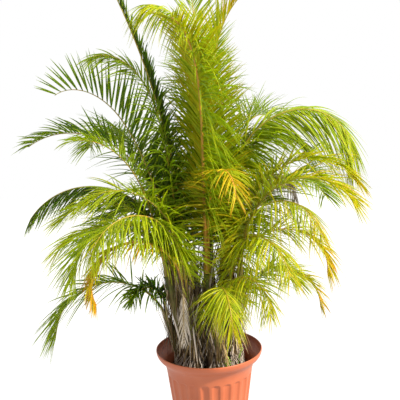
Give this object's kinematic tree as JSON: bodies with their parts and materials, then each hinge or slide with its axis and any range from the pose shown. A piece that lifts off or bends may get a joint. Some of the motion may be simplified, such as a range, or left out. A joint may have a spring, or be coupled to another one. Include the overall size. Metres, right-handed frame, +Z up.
{
  "type": "potted palm",
  "caption": "Clump-forming feather palm with arching fronds on slim canes, rooted in soil in a flared, fluted planter that stands on its flat base.",
  "frame": {"origin": "centre of the flat underside of the pot", "axes": "+Z up along the canes, -Y towards the front of the plant, +X to the right of the front"},
  "size_m": [1.3844, 1.294, 1.9728],
  "materials": {
    "terracotta_plastic": "moulded terracotta-coloured plastic, matt",
    "potting_soil": "bark and peat potting mix, crumbly",
    "dry_root": "dry aerial roots, dull grey",
    "cane_bark": "ringed green-brown canes, satin",
    "green_leaf": "living leaf, waxy sheen",
    "yellow_leaf": "yellowing leaf, waxy sheen",
    "dead_leaf": "dry leaf, dull",
    "weed_green": "soft green weed, matt"
  },
  "bodies": {
    "root": {"cane_01": "cane_bark", "cane_02": "cane_bark", "cane_03": "cane_bark", "cane_04": "cane_bark", "cane_05": "cane_bark", "cane_06": "cane_bark", "cane_07": "cane_bark", "cane_08": "cane_bark", "cane_09": "cane_bark", "cane_10": "cane_bark", "cane_11": "cane_bark", "cane_12": "cane_bark", "cane_13": "cane_bark", "cane_14": "cane_bark", "cane_15": "cane_bark", "dead_frond_curled": "dead_leaf", "dead_frond_front": "dead_leaf", "dead_frond_left": "dead_leaf", "frond_01a": "green_leaf", "frond_01b": "green_leaf", "frond_01c": "green_leaf", "frond_02a": "green_leaf", "frond_02b": "green_leaf", "frond_02c": "green_leaf", "frond_03a": "green_leaf", "frond_03b": "green_leaf", "frond_04a": "yellow_leaf", "frond_04b": "green_leaf", "frond_04c": "green_leaf", "frond_05a": "green_leaf", "frond_05b": "green_leaf", "frond_06a": "green_leaf", "frond_06b": "yellow_leaf", "frond_06c": "green_leaf", "frond_07a": "green_leaf", "frond_07b": "green_leaf", "frond_07c": "green_leaf", "frond_08a": "green_leaf", "frond_08b": "green_leaf", "frond_08c": "green_leaf", "frond_09a": "green_leaf", "frond_09b": "green_leaf", "frond_09c": "green_leaf", "frond_10a": "green_leaf", "frond_10b": "green_leaf", "frond_11a": "green_leaf", "frond_11b": "green_leaf", "frond_12a": "green_leaf", "frond_12b": "green_leaf", "frond_13a": "green_leaf", "frond_13b": "green_leaf", "frond_14a": "green_leaf", "frond_14b": "green_leaf", "frond_15a": "yellow_leaf", "frond_15b": "green_leaf", "pot": "terracotta_plastic", "root_mat": "dry_root", "soil": "potting_soil", "weed_leafy": "weed_green", "weed_seedhead": "weed_green"}
  },
  "joints": []
}
